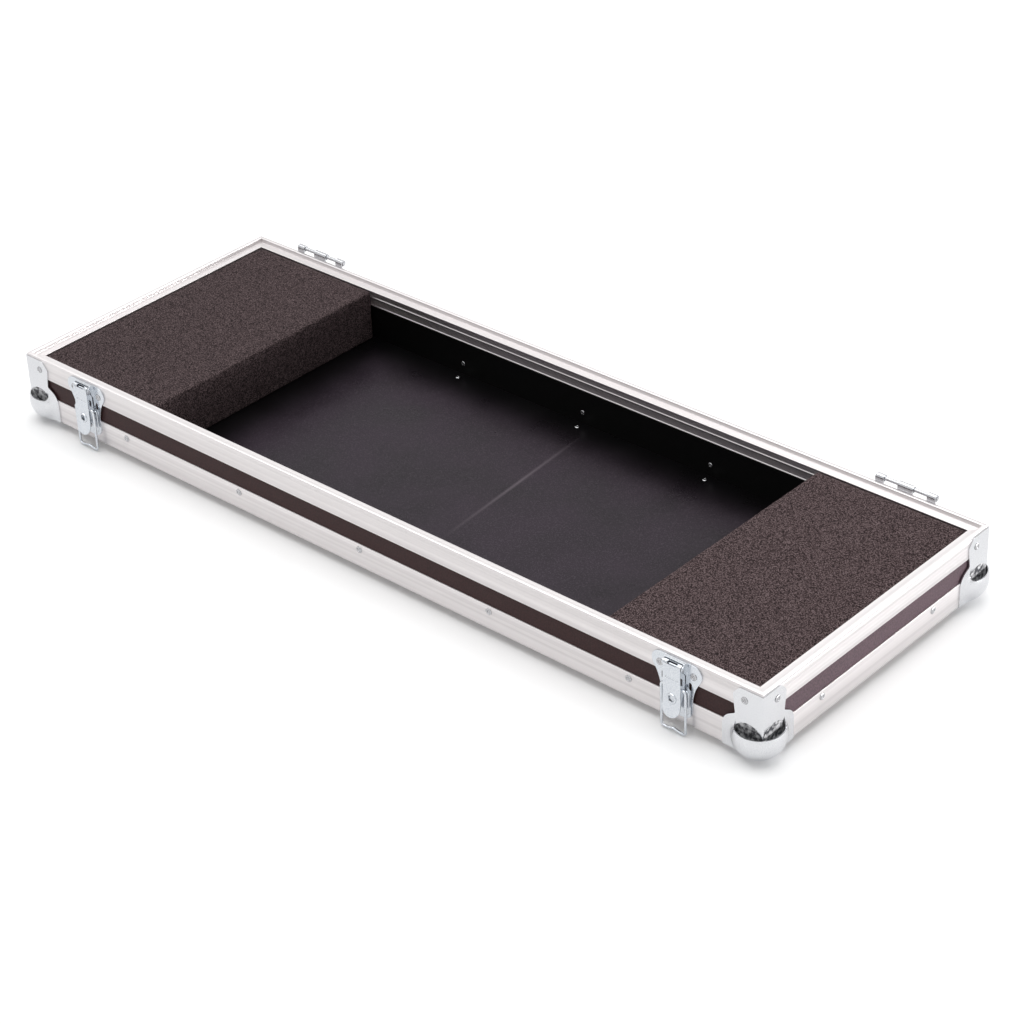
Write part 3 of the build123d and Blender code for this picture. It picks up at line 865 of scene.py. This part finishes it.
def merged_mesh(node: str) -> tuple[np.ndarray, np.ndarray]:
    """Read a CAD node's loose triangles and merge the points that lie within a micrometre.

    Args:
        node: the CAD node's name.

    Returns:
        The points in metres, and the triangles between them.
    """
    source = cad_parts[node].data
    points = np.zeros(len(source.vertices) * 3, np.float32)
    source.vertices.foreach_get("co", points)
    corners = np.zeros(len(source.loops), np.int32)
    source.loops.foreach_get("vertex_index", corners)
    whole = np.round(points.reshape(-1, 3) / MICROMETRE).astype(np.int64)
    unique, place = np.unique(whole, axis=0, return_inverse=True)
    triangles = place.reshape(-1)[corners].reshape(-1, 3)
    a, b, c = triangles.T
    return unique * MICROMETRE, triangles[(a != b) & (b != c) & (c != a)]


def solids_of(node: str) -> list[np.ndarray]:
    """Split a CAD node into its separate solids.

    Each point starts with its own number, and takes the lowest number of the triangles that it
    is in, until nothing changes.

    Args:
        node: the CAD node's name.

    Returns:
        The points of each solid, in millimetres.
    """
    points, triangles = merged_mesh(node)
    label = np.arange(len(points))
    while True:
        lowest = label.copy()
        np.minimum.at(lowest, triangles.ravel(), np.repeat(label[triangles].min(axis=1), 3))
        lowest = lowest[lowest]
        if np.array_equal(lowest, label):
            break
        label = lowest
    return [points[label == number] / MM for number in np.unique(label)]


def cad_copy(node: str, edge_mm: float = 0.0) -> Piece:
    """Copy a CAD node's mesh with its loose triangles merged, and round its sharp edges.

    Args:
        node: the CAD node that the copy stands for.
        edge_mm: how wide the rounding of the sharp edges is, or 0 for none.

    Returns:
        The copy, which replaces the node.
    """
    points, triangles = merged_mesh(node)
    piece = new_piece(node + "_dressed", points, triangles.tolist(), CAD_CREASE_DEGREES)
    if edge_mm > 0:
        bevel = piece.modifiers.new("edges", "BEVEL")
        bevel.width = edge_mm * MM
        bevel.segments = 2
        bevel.limit_method = "ANGLE"
        bevel.angle_limit = math.radians(CAD_CREASE_DEGREES)
        bevel.use_clamp_overlap = False
        bevel.harden_normals = True
    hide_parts(node)
    return piece


def dress(piece: Piece, materials: Material | list[Material], body: str) -> str:
    """Give a piece its looks and its place in the record.

    Args:
        piece: the object to dress.
        materials: one material, or one for each slot of its faces.
        body: the body that it moves with.

    Returns:
        The piece's name.
    """
    piece.data.materials.clear()
    for material in materials if isinstance(materials, list) else [materials]:
        piece.data.materials.append(material)
    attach(piece, body)
    return piece.name


def dress_node(node: str, material: Material) -> str:
    """Give a CAD node a better material through its object's slots.

    Args:
        node: the CAD node's name.
        material: what it shows.

    Returns:
        The node's name.
    """
    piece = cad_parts[node]
    if not piece.material_slots:
        piece.data.materials.append(material)
    for place in piece.material_slots:
        place.link = "OBJECT"
        place.material = material
    return node


# The studio


@dataclass
class Studio:
    """A plain pale floor, a pale world and soft lamps, with the camera of the photograph."""

    lens_mm: float = 96.991
    sensor_mm: float = 36.0
    place: tuple[float, float, float] = (1.879506, -1.954831, 1.702962)
    azimuth_degrees: float = 43.1097
    elevation_degrees: float = 32.3920
    roll_degrees: float = -2.5515
    floor_size: float = 30.0
    floor_colour: str = "#F4F4F4"
    world_level: float = 0.12
    overhead_watts: float = 542.0
    end_watts: float = 47.0
    seen_gain: float = 1.2
    seen_lift: float = 0.1

    def camera(self) -> None:
        """Make the camera where the photograph was taken from."""
        data = bpy.data.cameras.new("photograph_camera")
        data.lens = self.lens_mm
        data.sensor_width = self.sensor_mm
        data.clip_start, data.clip_end = 0.05, 100.0
        camera = bpy.data.objects.new("photograph_camera", data)
        bpy.context.scene.collection.objects.link(camera)
        turn = Matrix.Rotation(math.radians(self.azimuth_degrees), 4, "Z")
        tilt = Matrix.Rotation(math.radians(90 - self.elevation_degrees), 4, "X")
        roll = Matrix.Rotation(math.radians(self.roll_degrees), 4, "Z")
        camera.matrix_world = Matrix.Translation(self.place) @ turn @ tilt @ roll
        bpy.context.scene.camera = camera

    def seen(self, tree: Tree) -> Socket:
        """Tell the rays that show a thing from those that gather its light.

        Args:
            tree: the tree to add to.

        Returns:
            1 for a ray from the camera, a mirror or glass, and 0 for one that gathers light.
        """
        path = add_node(tree, "LightPath").outputs
        first = maths(tree, "MAXIMUM", path["Is Camera Ray"], path["Is Glossy Ray"])
        return maths(tree, "MAXIMUM", first, path["Is Transmission Ray"])

    def world(self) -> None:
        """Make the world white where it is seen or reflected, and a plain level as a light."""
        world = bpy.data.worlds.new("studio_world")
        world.use_nodes = True
        tree = world.node_tree
        tree.nodes.clear()
        level = carried(tree, self.seen(tree), (0.0, 1.0), (self.world_level, 1.0))
        light = add_node(tree, "Background", inputs={"Color": linear("#FFFFFF"), "Strength": level})
        add_node(tree, "OutputWorld", inputs={"Surface": light.outputs["Background"]})
        bpy.context.scene.world = world

    def floor(self) -> None:
        """Make the floor, which camera and mirror rays see brighter than it is as a light."""
        half = self.floor_size / 2 / MM
        steps = np.linspace(-half, half, 3)
        x, y = np.meshgrid(steps, steps, indexing="ij")
        floor = Surface.grid(np.stack([x, y, np.zeros_like(x)], axis=-1)).piece("studio_floor")
        material, tree = new_material("studio_paper")
        gain = carried(tree, self.seen(tree), (0.0, 1.0), (1.0, self.seen_gain))
        inputs = {0: linear(self.floor_colour)[:3], "Scale": gain}
        colour = add_node(tree, "VectorMath", {"operation": "SCALE"}, inputs)
        paper = add_node(tree, "BsdfDiffuse", inputs={"Color": colour.outputs["Vector"]})
        lift = maths(tree, "MULTIPLY", self.seen(tree), self.seen_lift)
        glow = add_node(tree, "Emission", inputs={"Strength": lift})
        both = add_node(tree, "AddShader", inputs={0: paper.outputs["BSDF"], 1: glow.outputs["Emission"]})
        add_node(tree, "OutputMaterial", inputs={"Surface": both.outputs["Shader"]})
        floor.data.materials.append(material)

    def lamps(self) -> None:
        """Hang a wide soft lamp overhead and stand a low strip lamp beyond the right end."""
        for name, place, width, height, watts in (
            ("overhead", (-0.7, 0.4, 6.5), 9.0, 9.0, self.overhead_watts),
            ("right_end", (2.3, 1.5, 0.16), 3.0, 0.28, self.end_watts),
        ):
            data = bpy.data.lights.new(name, "AREA")
            data.shape = "RECTANGLE"
            data.size, data.size_y = width, height
            data.energy = watts
            lamp = bpy.data.objects.new(name, data)
            bpy.context.scene.collection.objects.link(lamp)
            lamp.location = place
            lamp.rotation_mode = "QUATERNION"
            lamp.rotation_quaternion = (-Vector(place)).to_track_quat("-Z", "Y")

    def build(self) -> None:
        """Set up the whole studio."""
        bpy.context.scene.view_settings.view_transform = "Standard"
        self.camera()
        self.world()
        self.floor()
        self.lamps()


# The tray


@dataclass
class Panels:
    """The four walls and the floor, which keep their CAD meshes."""

    film: PhenolicFilm = PhenolicFilm()
    floor_film: FloorFilm = FloorFilm()

    def build(self) -> Iterator[str]:
        """Dress the walls and the floor.

        Yields:
            Each node's name.
        """
        film = self.film.material()
        for node in ("wall_front", "wall_back", "wall_left", "wall_right"):
            yield dress_node(node, film)
        yield dress_node("floor_panel", self.floor_film.material())


def side_place(side: str) -> Matrix:
    """A side's frame in millimetres: x along the side, y inward, z up from the angles' underside.

    Args:
        side: front, right, back or left.

    Returns:
        The side's frame.
    """
    turns = {"front": 0, "right": 90, "back": 180, "left": -90}
    turn = Matrix.Rotation(math.radians(turns[side]), 4, "Z")
    depth = CASE_WIDTH / 2 if side in ("front", "back") else CASE_LENGTH / 2
    return turn @ Matrix.Translation((0, -depth, STAND_HEIGHT))


def fitting_place(side: str, hand: Hand) -> Matrix:
    """The frame of a latch or hinge: its side's frame, moved along to the middle of the fitting."""
    along = hand.value * (CASE_LENGTH / 2 - FITTING_FROM_END)
    return side_place(side) @ Matrix.Translation((along if side == "front" else -along, 0, 0))


def corner_place(turns: int) -> Matrix:
    """A corner's frame in millimetres: x and y inward along its sides, z up from the angles.

    Args:
        turns: quarter turns from the front left corner, seen from above.

    Returns:
        The corner's frame.
    """
    along_x = (-1, 1, 1, -1)[turns] * CASE_LENGTH / 2
    along_y = (-1, -1, 1, 1)[turns] * CASE_WIDTH / 2
    turn = Matrix.Rotation(math.pi / 2 * turns, 4, "Z")
    return Matrix.Translation((along_x, along_y, STAND_HEIGHT)) @ turn


@dataclass
class Edging:
    """The hollow rims and the bottom angles, each a rounded outline carried along its side."""

    finish: MillAluminium = MillAluminium()
    leg: float = 30.0
    skin: float = 1.6
    angle_end_cut: float = 6.0
    mitre_gap: float = 0.1
    rim_bottom: float = 54.0
    rim_width: float = 15.4
    lip_width: float = 5.0
    lip_height: float = 5.3
    lip_roll: float = 1.1
    lip_cut: float = 0.3
    crease_depth: float = 0.45
    crease_half_width: float = 0.5
    crease_rise: float = 1.2  # above the ledge
    panel_leg: float = 13.3
    bead_depth: float = 0.6
    bead_height: float = 1.4
    bead_drop: float = 14.5
    groove_count: int = 4
    groove_pitch: float = 4.6
    groove_width: float = 1.0
    groove_depth: float = 0.16
    edge_radius: float = 0.35

    def angle_outline(self) -> np.ndarray:
        """Draw the bottom angle.

        Returns:
            The outline in (inward, up).
        """
        leg, skin = self.leg, self.skin
        corners = [(0, 0), (leg, 0), (leg, skin), (skin, skin), (skin, leg), (0, leg)]
        return softened(corners, self.edge_radius)

    def rim_outline(self) -> np.ndarray:
        """Draw the rim: grooved face, hollow lip, ledge and beaded inner leg.

        Returns:
            The outline in (inward, up).
        """
        top, bottom = RIM_TOP, self.rim_bottom
        ledge = top - self.lip_height
        web = ledge - self.skin
        first = bottom + (top - bottom - self.groove_pitch * (self.groove_count - 1)) / 2
        face = [(0, bottom)]
        for i in range(self.groove_count):
            middle, half = first + i * self.groove_pitch, self.groove_width / 2
            face += [(0, middle - half), (self.groove_depth, middle), (0, middle + half)]
        width, roll, cut = self.lip_width, self.lip_roll, self.lip_cut
        crease, half = top - (self.lip_height - self.crease_rise), self.crease_half_width
        lip = [(0, crease - half), (self.crease_depth, crease), (0, crease + half), (0, top - roll)]
        lip += [(cut, top - cut), (roll, top), (width - roll, top)]
        lip += [(width - cut, top - cut), (width, top - roll), (width, ledge)]
        middle, half, bead = top - self.bead_drop, self.bead_height / 2, self.bead_depth
        deep, back, foot = self.rim_width, self.rim_width - bead, bottom + self.bead_height
        inner = [(deep, ledge), (deep, web), (back, web - bead), (back, middle + half + bead)]
        inner += [(deep, middle + half), (deep, middle - half), (back, middle - half - bead)]
        inner += [(back, foot + bead), (deep, foot), (deep, bottom)]
        leg, skin = self.panel_leg, self.skin
        slot = [(leg, bottom), (leg, web), (width - skin, web), (width - skin, top - skin)]
        slot += [(skin, top - skin), (skin, bottom)]
        return softened(face + lip + inner + slot, self.edge_radius)

    def build(self) -> Iterator[str]:
        """Carry both outlines along each side.

        Yields:
            Each piece's name.
        """
        for run, sides in ((Run.ALONG_X, ("front", "back")), (Run.ALONG_Y, ("left", "right"))):
            material = self.finish.material(run)
            half = (CASE_LENGTH if run is Run.ALONG_X else CASE_WIDTH) / 2
            rim = Surface.mitred(self.rim_outline(), half - self.mitre_gap / 2, 0.0)
            angle = Surface.mitred(self.angle_outline(), half - self.mitre_gap, self.angle_end_cut)
            for side in sides:
                for kind, bar in (("rim_", rim), ("base_angle_", angle)):
                    piece = bar.moved(side_place(side)).piece(kind + side + "_dressed")
                    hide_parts(kind + side)
                    yield dress(piece, material, "tray")


@dataclass
class BallCorners:
    """The four pressed corners that the tray stands on, with a sheet of painted reflection in each mouth."""

    finish: ZincPlatedSteel = ZincPlatedSteel(name="zinc_plated_corner")
    back: ReflectionPaintedSteel = ReflectionPaintedSteel()
    back_reach: float = 34.0
    back_bottom: float = 2.0
    back_top: float = 38.5
    back_thickness: float = 0.35

    def mouth_back(self) -> Surface:
        """Make an L of thin sheet on the angles' faces, seen only through the mouth, which carries painted
        reflection.

        Returns:
            The sheet, with its corner at 0, 0.
        """
        reach, out = self.back_reach, self.back_thickness
        plan = [(-out, -out), (reach, -out), (reach, 0.0), (0.0, 0.0), (0.0, reach), (-out, reach)]
        rows = [[(x, y, z) for x, y in plan] for z in (self.back_bottom, self.back_top)]
        return Surface.grid(np.array(rows), close_columns=True).capped(len(plan))

    def build(self) -> Iterator[str]:
        """Dress the four corners and put a sheet of painted reflection behind each mouth.

        Yields:
            Each piece's name.
        """
        material, back = self.finish.material(), self.back.material()
        for i, place in enumerate(("front_left", "front_right", "back_right", "back_left")):
            piece = cad_copy("ball_corner_" + place)
            # the sheet behind the mouth carries painted reflection
            sheet = self.mouth_back().moved(corner_place(i)).piece("mouth_back_" + place)
            yield dress(piece, material, "tray")
            yield dress(sheet, back, "tray")


@dataclass
class Latches:
    """Plates, pins, levers and wire bails."""

    finish: ZincPlatedSteel = ZincPlatedSteel(
        name="zinc_plated_latch", colour="#D9DCE0", dull_colour="#B9BFC7", wave_mm=5.0, roughness=0.13
    )
    edge: float = 0.25
    pin_out: float = 6.2
    pin_height: float = 72.0
    pin_radius: float = 1.5
    pin_head_radius: float = 2.3
    pin_head_length: float = 0.6
    pin_head_bevel: Pair = (0.4, 0.2)  # inward and along
    pin_reach: float = 13.8
    wire_radius: float = 1.65
    wire_out: float = 6.85
    wire_top: float = 45.5
    wire_foot: float = -8.6
    wire_half_width: float = 15.65
    wire_end: float = 8.8
    bow_height: float = 1.8
    bow_half_width: float = 9.0
    bow_radius: float = 6.0
    shoulder_radius: float = 3.4
    foot_radius: float = 3.2
    eye_height: float = 32.5
    eye_out: float = 10.2
    eye_radius: float = 3.6
    eye_rim_width: float = 2.8
    eye_rim_height: float = 1.5

    def eyelet(self) -> Surface:
        """Turn the rolled rim of the lever's eye, and lay it on the lever's face.

        Returns:
            The rim in the latch's frame.
        """
        inner, width, height = self.eye_radius, self.eye_rim_width, self.eye_rim_height
        turn = np.linspace(0, math.pi, 9)
        profile = [(inner + width / 2 * (1 - math.cos(a)), height * math.sin(a)) for a in turn]
        profile.append((inner, 0.0))
        turned = Matrix.Rotation(math.pi / 2, 4, "X")
        lay = Matrix.Translation((0, -self.eye_out, self.eye_height)) @ turned
        return Surface.lathe(profile).moved(lay)

    def pin(self) -> Surface:
        """Lay the headed pin across the plate's ears.

        Returns:
            The pin in the latch's frame.
        """
        reach, head, shank = self.pin_reach, self.pin_head_radius, self.pin_radius
        inward, along = self.pin_head_bevel
        half = [(shank, reach - self.pin_head_length), (head, reach - self.pin_head_length)]
        half += [(head, reach - along), (head - inward, reach), (0.0, reach)]
        return Surface.crossbar(half, self.pin_out, self.pin_height)

    def bail(self) -> Surface:
        """Bend the wire loop, with its two ends turned inward.

        Returns:
            The loop in the latch's frame.
        """
        top, foot, width = self.wire_top, self.wire_foot, self.wire_half_width
        half = [(self.wire_end, top), (width, top), (width, foot), (self.bow_half_width, foot)]
        corners = half + [(0.0, foot + self.bow_height)] + [(-x, z) for x, z in reversed(half)]
        ends = [self.shoulder_radius, self.foot_radius]
        flat = bent(corners, ends + [self.bow_radius] * 3 + ends[::-1])
        path = np.stack([flat[:, 0], np.full(len(flat), -self.wire_out), flat[:, 1]], axis=1)
        return Surface.tube(path, (0.0, -1.0, 0.0), self.wire_radius)

    def build(self) -> Iterator[str]:
        """Make both latches.

        Yields:
            Each piece's name.
        """
        material = self.finish.material()
        for hand in Hand:
            place, word = fitting_place("front", hand), hand.word
            plate = cad_copy("latch_plate_" + word, self.edge)
            lever = cad_copy("latch_lever_" + word, self.edge)
            pin = self.pin().moved(place).piece(f"latch_pin_{word}_dressed")
            bail = self.bail().moved(place).piece(f"latch_bail_{word}_dressed")
            eyelet = self.eyelet().moved(place).piece("latch_eyelet_" + word)
            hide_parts("latch_pin_" + word)
            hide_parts("latch_bail_" + word)
            bodies = ("tray", "lever_" + word, "tray", "bail_" + word, "lever_" + word)
            for piece, body in zip((plate, lever, pin, bail, eyelet), bodies):
                yield dress(piece, material, body)


@dataclass
class Hinges:
    """The lift-off hinge halves on the back."""

    finish: ZincPlatedSteel = ZincPlatedSteel(
        name="zinc_plated_hinge", colour="#C8C9CC", dull_colour="#A3A4A8", roughness=0.2
    )
    edge: float = 0.25
    rod_radius: float = 2.25
    rod_reach: float = 40.7
    rod_out: float = 3.9
    rod_height: float = RIM_TOP + 4.1
    end_chamfer: float = 0.7

    def rod(self) -> Surface:
        """Lay the plain rod through the knuckles.

        Returns:
            The rod in the hinge's frame.
        """
        reach, radius, cut = self.rod_reach, self.rod_radius, self.end_chamfer
        half = [(radius, reach - cut), (radius - cut, reach), (0.0, reach)]
        return Surface.crossbar(half, self.rod_out, self.rod_height)

    def build(self) -> Iterator[str]:
        """Make both hinge halves.

        Yields:
            Each piece's name.
        """
        material = self.finish.material()
        for hand in Hand:
            rod = self.rod().moved(fitting_place("back", hand)).piece(f"hinge_rod_{hand.word}_dressed")
            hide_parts("hinge_rod_" + hand.word)
            for piece in (cad_copy("hinge_leaf_" + hand.word, self.edge), rod):
                yield dress(piece, material, "tray")


@dataclass
class Rivets:
    """Every pop rivet: a domed head with the snapped wire in its hole, or the swollen tail inside."""

    finish: ZincPlatedSteel = ZincPlatedSteel(
        name="rivet_shell", colour="#C4C4C6", dull_colour="#9C9C9F", roughness=0.22
    )
    wire: DullSteelWithHoleShade = DullSteelWithHoleShade()
    head_over_mm: float = 3.6  # a base wider than this is a head's
    base_margin_mm: float = 0.05
    crease_degrees: float = 50.0

    def head(self) -> Surface:
        """Turn a head 8.4 mm wide and 1.1 mm high.

        Returns:
            The head, on its sheet at z = 0.
        """
        shell = [(0, 0.02), (3.8, 0.02), (3.9, 0.2), (4.2, 0.28), (4.15, 0.45), (3.7, 0.75), (3.0, 0.98)]
        shell += [(2.7, 1.09), (2.4, 1.08), (2.2, 0.95), (2.1, 0.5)]
        # slot 1, the hole's wall and floor and the wire end, takes the near-black steel: partly the wire's
        # own grey, partly painted shade in the hole
        hole = [(2.1, 0.5), (2.0, 0.36), (1.35, 0.34), (1.3, 0.6), (1.0, 0.72), (0, 0.74)]
        return Surface.joined([Surface.lathe(shell, 28), Surface.lathe(hole, 28).in_slot(1)])

    def tail(self) -> Surface:
        """Turn a tail 6 mm wide and 1 mm high.

        Returns:
            The tail, on its board at z = 0.
        """
        shell = [(0, 0.02), (2.6, 0.02), (2.95, 0.25), (3.0, 0.45), (2.7, 0.8), (2.1, 0.98), (1.3, 0.98)]
        # slot 1, the hole and the wire end, takes the near-black steel: partly the wire's own grey, partly
        # painted shade in the hole
        hole = [(1.3, 0.98), (1.1, 0.8), (0.5, 0.75), (0, 0.75)]
        return Surface.joined([Surface.lathe(shell, 24), Surface.lathe(hole, 24).in_slot(1)])

    def seated(self, solid: np.ndarray) -> Surface:
        """Stand a rivet on the wider end of its CAD solid.

        Args:
            solid: the points of one head or tail in the CAD model.

        Returns:
            The rivet in its place.
        """
        low, high = solid.min(axis=0), solid.max(axis=0)
        axis = int(np.argmin(high - low))
        middle = (low + high) / 2
        away = np.delete(solid - middle, axis, axis=1)
        reach = np.linalg.norm(away, axis=1)
        base = reach > reach.max() - self.base_margin_mm
        level = float(solid[base, axis].mean())
        way = np.zeros(3)
        way[axis] = math.copysign(1, middle[axis] - level)
        middle[axis] = level
        turn = Vector((0, 0, 1)).rotation_difference(Vector(way)).to_matrix().to_4x4()
        shape = self.head() if reach.max() > self.head_over_mm else self.tail()
        return shape.moved(Matrix.Translation(middle) @ turn)

    def build(self) -> Iterator[str]:
        """Stand a rivet in the place of each CAD rivet.

        Yields:
            Each piece's name.
        """
        materials = [self.finish.material(), self.wire.material()]
        for node in sorted(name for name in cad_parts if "rivets" in name):
            rivets = Surface.joined([self.seated(solid) for solid in solids_of(node)])
            piece = rivets.piece(node + "_dressed", self.crease_degrees)
            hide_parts(node)
            yield dress(piece, materials, "tray")


@dataclass
class FoamBlocks:
    """The two foam support blocks, with soft edges and a porous skin."""

    # painted light: the right block is given paler colours than the left, for the light that falls more on
    # the right
    left: OpenCellFoam = OpenCellFoam("foam_left_painted_darker", "#1C1415", "#433738", "#706162")
    right: OpenCellFoam = OpenCellFoam("foam_right_painted_lighter", "#201718", "#4C3E3F", "#7F6E6F")
    edge_radius: float = 2.2
    grid_step: float = 2.4
    pore_depth: float = 0.5
    crease_degrees: float = 80.0

    def build(self) -> Iterator[str]:
        """Stand a soft block in the space of each CAD block.

        Yields:
            Each piece's name.
        """
        for hand, finish in zip(Hand, (self.left, self.right)):
            node = "foam_block_" + hand.word
            low, high = (np.array(corner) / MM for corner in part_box(node))
            block = Surface.soft_box(low, high, self.edge_radius, self.grid_step, self.pore_depth)
            piece = block.piece(node + "_dressed", self.crease_degrees)
            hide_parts(node)
            name = dress(piece, finish.material(), "tray")
            yield name


def main() -> None:
    """Build the studio and the case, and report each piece."""
    logging.basicConfig(level=logging.INFO, format="%(message)s")
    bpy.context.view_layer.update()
    Studio().build()
    for part in (Panels(), Edging(), BallCorners(), Rivets(), Latches(), Hinges(), FoamBlocks()):
        for name in part.build():
            LOG.info("%s: %s", type(part).__name__, name)


if __name__ == "__main__":
    main()
